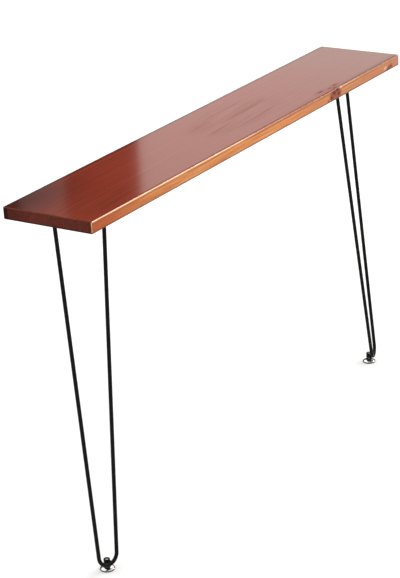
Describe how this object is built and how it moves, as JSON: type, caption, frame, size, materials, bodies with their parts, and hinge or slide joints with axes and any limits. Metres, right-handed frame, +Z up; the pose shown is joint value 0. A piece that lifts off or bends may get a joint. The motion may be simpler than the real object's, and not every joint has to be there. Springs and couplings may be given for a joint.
{
  "type": "wall-mounted bar table",
  "caption": "Narrow wood board table screwed to a wall by angle brackets, its front carried by splayed hairpin rod legs on screw-adjustable levelling feet.",
  "frame": {"origin": "on the floor, under the middle of the board", "axes": "+X along the board, +Y towards the wall, +Z up"},
  "size_m": [1.2, 0.2, 0.75],
  "materials": {
    "wood": "glossy red-brown stain and clear lacquer over pine grain",
    "black_steel": "satin black powder coat",
    "chrome": "bright chrome plate",
    "zinc": "bright zinc plate",
    "black_plastic": "matte black moulded plastic"
  },
  "bodies": {
    "table": {"tabletop": "wood", "leg_rod_left": "black_steel", "leg_rod_right": "black_steel", "leg_plate_left": "black_steel", "leg_plate_right": "black_steel", "leg_bush_left": "black_steel", "leg_bush_right": "black_steel", "leg_screw_left_1": "zinc", "leg_screw_left_2": "zinc", "leg_screw_left_3": "zinc", "leg_screw_left_4": "zinc", "leg_screw_left_5": "zinc", "leg_screw_right_1": "zinc", "leg_screw_right_2": "zinc", "leg_screw_right_3": "zinc", "leg_screw_right_4": "zinc", "leg_screw_right_5": "zinc", "wall_bracket_left": "black_steel", "wall_bracket_right": "black_steel", "bracket_screw_left_1": "zinc", "bracket_screw_left_2": "zinc", "bracket_screw_right_1": "zinc", "bracket_screw_right_2": "zinc"},
    "foot_left": {"foot_cap_left": "chrome", "foot_base_left": "black_plastic"},
    "stem_left": {"foot_stem_left": "zinc"},
    "foot_right": {"foot_cap_right": "chrome", "foot_base_right": "black_plastic"},
    "stem_right": {"foot_stem_right": "zinc"}
  },
  "joints": [
    {"name": "foot_left_height", "type": "slide", "parent": "table", "child": "foot_left", "axis": [0, 0, 1], "range_m": [-0.00625, 0.0025]},
    {"name": "stem_left_turn", "type": "hinge", "parent": "foot_left", "child": "stem_left", "pos_m": [-0.54825, -0.03409, 0.0135], "axis": [0, 0, 1], "range_deg": [-1800, 720]},
    {"name": "foot_right_height", "type": "slide", "parent": "table", "child": "foot_right", "axis": [0, 0, 1], "range_m": [-0.00625, 0.0025]},
    {"name": "stem_right_turn", "type": "hinge", "parent": "foot_right", "child": "stem_right", "pos_m": [0.54825, -0.03409, 0.0135], "axis": [0, 0, 1], "range_deg": [-1800, 720]}
  ],
  "couplings": [
    {"joint": "stem_left_turn", "follows": "foot_left_height", "rad_per_m": 5026.5},
    {"joint": "stem_right_turn", "follows": "foot_right_height", "rad_per_m": 5026.5}
  ]
}
